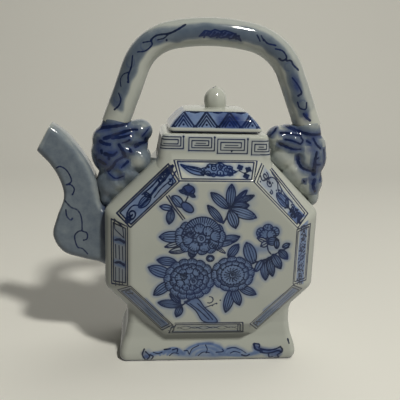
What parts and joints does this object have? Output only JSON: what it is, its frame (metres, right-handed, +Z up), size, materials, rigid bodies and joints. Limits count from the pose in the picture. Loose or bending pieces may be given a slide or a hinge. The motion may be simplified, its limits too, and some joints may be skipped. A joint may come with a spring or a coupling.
{
  "type": "porcelain teapot",
  "caption": "Flask-shaped octagonal porcelain teapot on a rectangular foot, with an overhead arch handle, a squared S-curved spout and a lift-off hipped lid.",
  "frame": {"origin": "centre of the foot, in the plane where it stands on the table", "axes": "+Z up, the spout points to -X, the front panel faces -Y"},
  "size_m": [0.1584, 0.058, 0.185],
  "materials": {
    "painted_porcelain": "glossy clear glaze over white porcelain painted in cobalt blue",
    "washed_porcelain": "glossy clear glaze over a pale blue wash with darker brush lines",
    "plain_porcelain": "glossy clear glaze over plain white porcelain"
  },
  "bodies": {
    "pot": {"front_moulding": "painted_porcelain", "back_moulding": "painted_porcelain", "side_wall": "painted_porcelain", "neck": "painted_porcelain", "foot": "painted_porcelain", "spout": "washed_porcelain", "handle": "washed_porcelain", "left_lug": "washed_porcelain", "right_lug": "washed_porcelain"},
    "lid": {"lid_cover": "painted_porcelain", "lid_flange": "plain_porcelain", "lid_knob": "plain_porcelain"}
  },
  "joints": [
    {"name": "lid_lift", "type": "slide", "parent": "pot", "child": "lid", "axis": [0, 0, 1], "range_m": [0, 0.016]}
  ]
}
